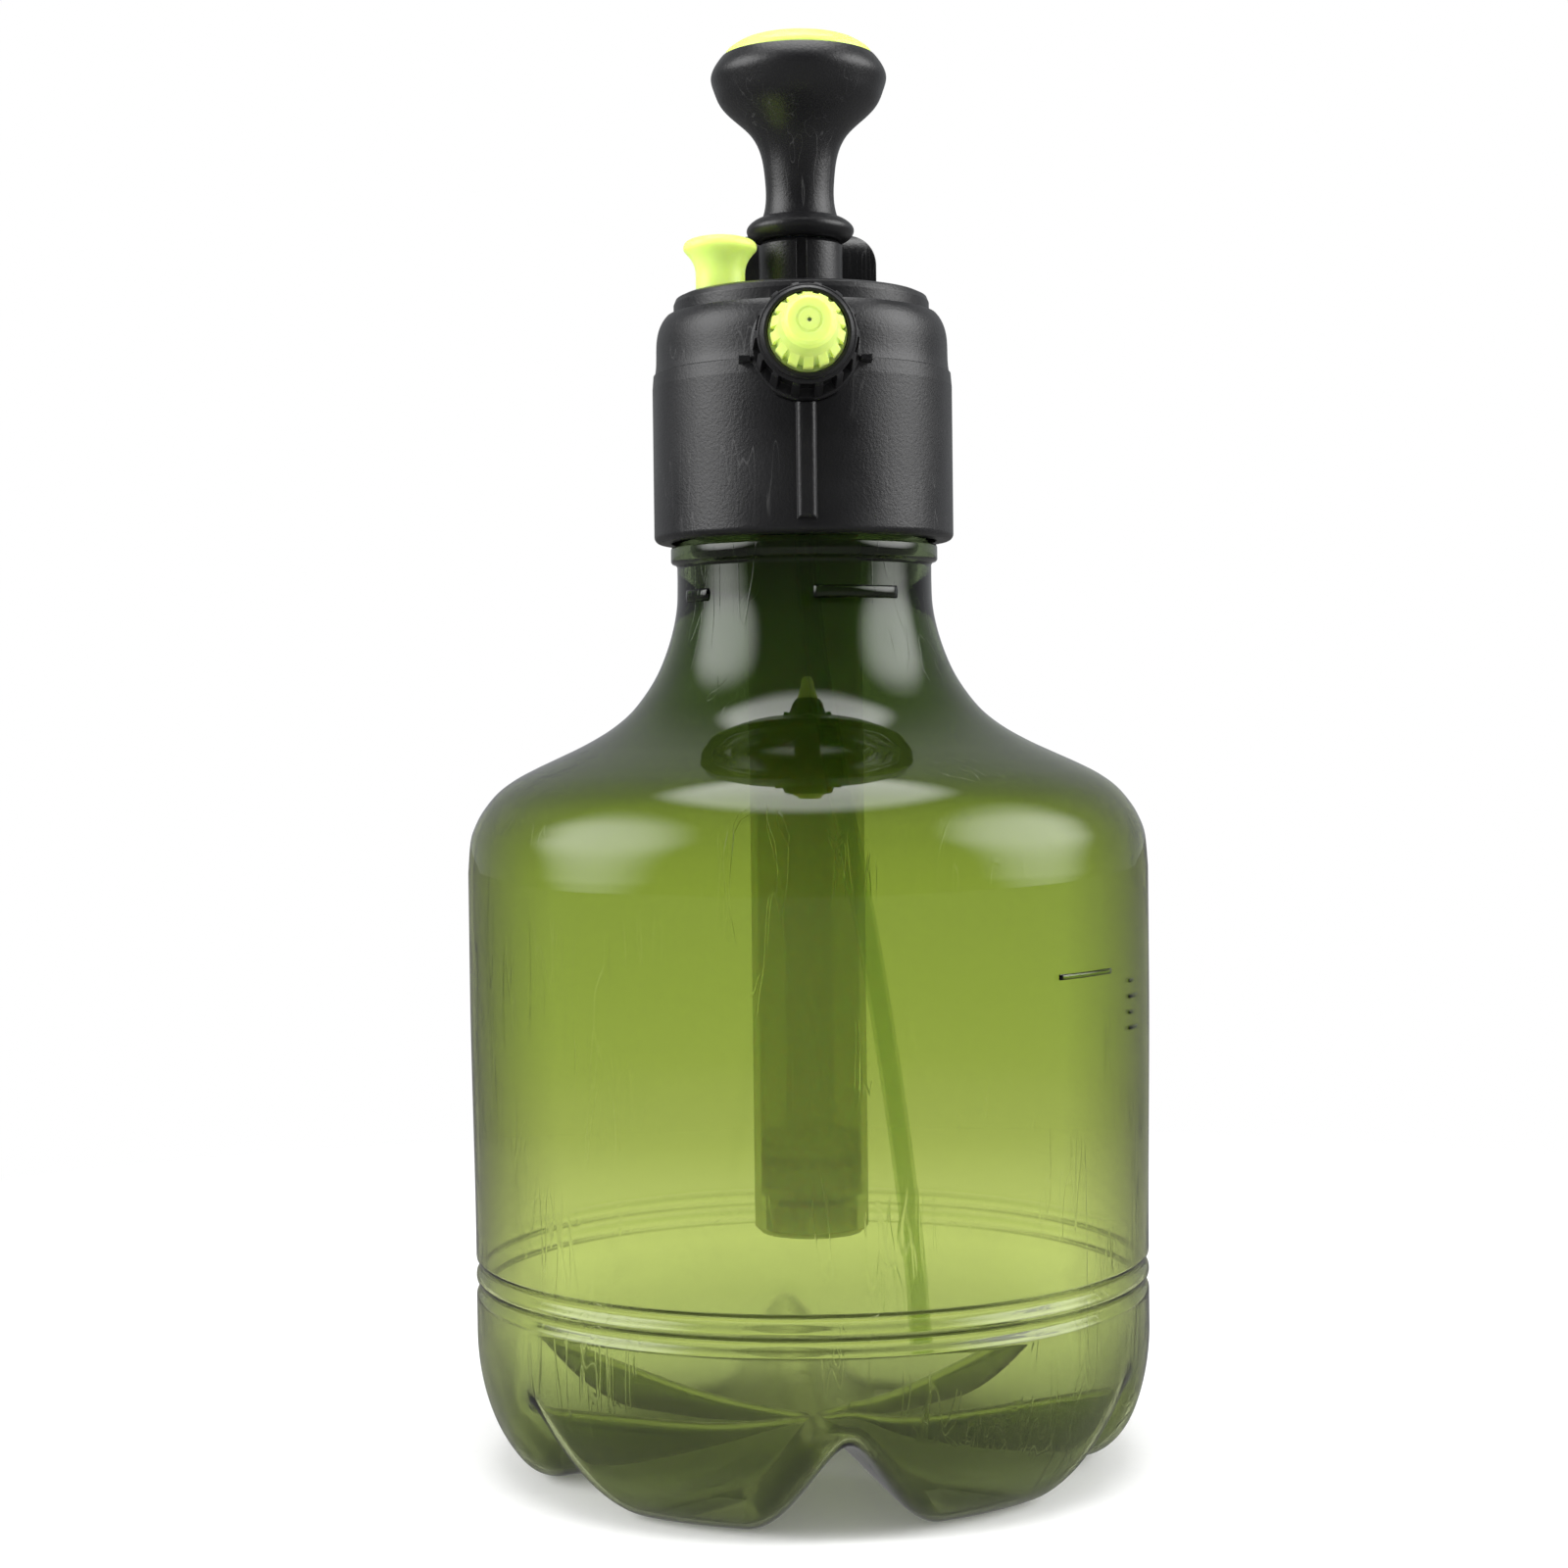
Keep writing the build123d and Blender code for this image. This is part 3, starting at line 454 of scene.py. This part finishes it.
def raised_bar(name, radius, azimuths, heights, proud, material):
    """Bar moulded on the bottle, bent round it, with a rounded back. Azimuths are in degrees."""
    section = [(-0.3, 0.0), (0.4, 0.0), (0.8, 0.12), (1.0, 0.35),
               (1.0, 0.65), (0.8, 0.88), (0.4, 1.0), (-0.3, 1.0)]
    steps = 16
    verts, faces = [], []
    for i in range(steps + 1):
        t = i / steps
        ease = min(1.0, 6 * t, 6 * (1 - t))
        azimuth = radians(mix(*azimuths, t))
        for out, up in section:
            rise = out * proud * (mix(0.5, 1.0, ease) if out > 0 else 1.0)
            verts.append(on_wall(radius + rise, azimuth, mix(*heights, up)))
    count = len(section)
    for i in range(steps):
        for k in range(count):
            n = (k + 1) % count
            faces.append((i * count + k, (i + 1) * count + k, (i + 1) * count + n, i * count + n))
    faces.append(tuple(range(count)))
    faces.append(tuple(range(steps * count, (steps + 1) * count))[::-1])
    return mesh_object(name, verts, faces, "bottle", material)


def build_marks(material):
    """Fill line with plain ticks beside it, and the grip bars on the neck."""
    fill_z = 114.0
    raised_bar("fill_line", BODY_R, (41, 55), (fill_z - 0.6, fill_z + 0.6), 0.5, material)
    for k in range(4):
        reach = 4.0 if k % 2 else 2.2
        z = fill_z - 3.0 - 3.4 * k
        raised_bar(f"fill_tick_{k + 1}", BODY_R, (62, 62 + reach), (z - 0.4, z + 0.4), 0.4, material)
    for side, azimuths in (("right", (2.5, 43)), ("left", (-66, -48))):
        raised_bar(f"neck_bar_{side}", NECK_R, azimuths, (194.6, 197.4), 0.9, material)


# ---------------------------------------------------------------- springs
def coil_spring(name, node, turns, material):
    """Round-wire spring in the place of a CAD node, filling its box and riding on the head."""
    low, high = (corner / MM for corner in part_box(node))
    centre = (low + high) / 2
    wire = 0.35
    radius = (high.x - low.x) / 2 - wire
    steps, sides = 24 * turns, 10
    verts, faces = [], []
    for i in range(steps + 1):
        turn = 2 * pi * turns * i / steps
        z = mix(low.z + wire, high.z - wire, i / steps)
        for k in range(sides):
            a = 2 * pi * k / sides
            r = radius + wire * cos(a)
            verts.append((centre.x + r * cos(turn), centre.y + r * sin(turn), z + wire * sin(a)))
    for i in range(steps):
        for k in range(sides):
            n = (k + 1) % sides
            faces.append((i * sides + k, i * sides + n, (i + 1) * sides + n, (i + 1) * sides + k))
    faces.append(tuple(range(sides))[::-1])
    faces.append(tuple(range(steps * sides, (steps + 1) * sides)))
    piece = mesh_object(name, verts, faces, "head", material, (node,))
    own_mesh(piece)


def build_springs(material):
    coil_spring("valve_coil", "valve_spring", 5, material)
    coil_spring("relief_coil", "relief_spring", 8, material)


# ---------------------------------------------------------------- camera, floor and light
def build_camera():
    camera = bpy.data.cameras.new("camera")
    camera.lens = 62.0
    camera.sensor_width = 36.0
    obj = bpy.data.objects.new("camera", camera)
    bpy.context.scene.collection.objects.link(obj)
    look = Matrix.Rotation(radians(90.0 - 1.25), 4, "X") @ Matrix.Rotation(radians(-0.69), 4, "Z")
    round_the_object = Matrix.Rotation(radians(-0.85), 4, "Z")
    obj.matrix_world = round_the_object @ Matrix.Translation((-0.0052, -0.616, 0.167)) @ look
    bpy.context.scene.camera = obj


def build_floor():
    """Pale floor that turns into the white of the backdrop away from the object."""
    mesh = bpy.data.meshes.new("floor")
    half = 6.0
    corners = [(-half, -half, 0), (half, -half, 0), (half, half, 0), (-half, half, 0)]
    mesh.from_pydata(corners, [], [(0, 1, 2, 3)])
    floor = bpy.data.objects.new("floor", mesh)
    bpy.context.scene.collection.objects.link(floor)
    s = Shader("floor")
    speckle = s.ramp(s.noise(300.0), [(0.3, (0.86, 0.86, 0.86)), (0.7, (0.90, 0.90, 0.90))])
    s.set(Base_Color=speckle, Roughness=0.9, Emission_Color=(1, 1, 1, 1), Emission_Strength=0.12)
    distance = s.node("ShaderNodeVectorMath", i0=s.place)
    distance.operation = "LENGTH"
    backdrop = s.node("ShaderNodeEmission", Color=(1, 1, 1, 1))
    both = s.node("ShaderNodeMixShader", i0=s.range(distance.outputs["Value"], 0.12, 0.5, 0.0, 1.0),
                  i1=s.bsdf.outputs[0], i2=backdrop.outputs[0])
    in_reflections = s.node("ShaderNodeEmission", Color=(0.20, 0.20, 0.20, 1))
    seen = s.node("ShaderNodeMixShader", i0=s.reflected(), i1=both.outputs[0], i2=in_reflections.outputs[0])
    s.feed(s.tree.nodes["Material Output"].inputs["Surface"], seen.outputs[0])
    mesh.materials.append(s.material)


def area_light(name, place, aim, size, power):
    data = bpy.data.lights.new(name, "AREA")
    data.shape = "RECTANGLE"
    data.size, data.size_y = size
    data.energy = power
    light = bpy.data.objects.new(name, data)
    bpy.context.scene.collection.objects.link(light)
    light.location = place
    light.rotation_mode = "QUATERNION"
    light.rotation_quaternion = (Vector(aim) - Vector(place)).to_track_quat("-Z", "Y")
    light.visible_glossy = False
    light.visible_transmission = False


# direction, brightness, and the cosines at which each light starts and is full
GLOWS = [((-0.82, -0.18, 0.40), 5.0, 0.83, 1.0),
         ((0.84, -0.12, 0.40), 5.0, 0.83, 1.0),
         ((0.0, 0.12, 1.0), 4.5, 0.88, 0.95)]


def glow(nodes, direction, towards, edge, full):
    """1 in the middle of a soft round light that lies in a direction, 0 well away from it."""
    aimed = nodes.node("ShaderNodeVectorMath", i0=direction, i1=Vector(towards).normalized())
    aimed.operation = "DOT_PRODUCT"
    spread = nodes.node("ShaderNodeMapRange", i0=aimed.outputs["Value"], i1=edge, i2=full)
    spread.interpolation_type = "SMOOTHSTEP"
    return spread.outputs[0]


def build_world():
    """White to the camera and through the bottle; reflections see a dark room with soft lights."""
    world = bpy.data.worlds.new("studio")
    bpy.context.scene.world = world
    world.use_nodes = True
    n = Nodes(world.node_tree)
    direction = n.node("ShaderNodeTexCoord").outputs["Generated"]
    backward = n.node("ShaderNodeSeparateXYZ", Vector=direction).outputs["Y"]
    room = n.blend(n.range(backward, 0.0, 0.8, 0.0, 1.0), (0.02, 0.02, 0.022, 1), (0.34, 0.35, 0.36, 1))
    for towards, brightness, edge, full in GLOWS:
        light = (brightness, brightness, brightness, 1)
        room = n.blend(glow(n, direction, towards, edge, full), room, light)
    path = n.node("ShaderNodeLightPath")
    plain = n.blend(path.outputs["Is Diffuse Ray"], (1, 1, 1, 1), (0.72, 0.72, 0.72, 1))
    n.feed(n.tree.nodes["Background"].inputs["Color"], n.blend(n.reflected(), plain, room))


def build_studio():
    build_world()
    build_floor()
    middle = (0, 0, 0.17)
    area_light("softbox_left", (-0.86, -0.30, 0.42), middle, (0.30, 0.70), 8.0)
    area_light("softbox_right", (0.90, -0.12, 0.42), middle, (0.30, 0.70), 8.0)
    area_light("softbox_top", (0.0, -0.30, 1.0), (0, 0, 0.2), (0.6, 0.4), 5.0)


# ---------------------------------------------------------------- build
def main():
    materials = {
        "bottle_pet": bottle_pet(),
        "black_satin": black_satin(),
        "yellow_green": yellow_green(),
        "milky_plastic": clouded("milky_plastic", (0.84, 0.87, 0.66), 0.64),
        "hose_plastic": clouded("hose_plastic", (0.88, 0.92, 0.77), 0.90),
        "white_plastic": clouded("white_plastic", (0.64, 0.65, 0.62), 0.10),
        "black_rubber": black_rubber(),
        "spring_steel": spring_steel(),
    }
    dress(materials)
    build_bottle(materials["bottle_pet"])
    build_marks(materials["bottle_pet"])
    build_springs(materials["spring_steel"])
    build_studio()
    build_camera()
    bpy.context.scene.view_settings.view_transform = "Standard"


main()
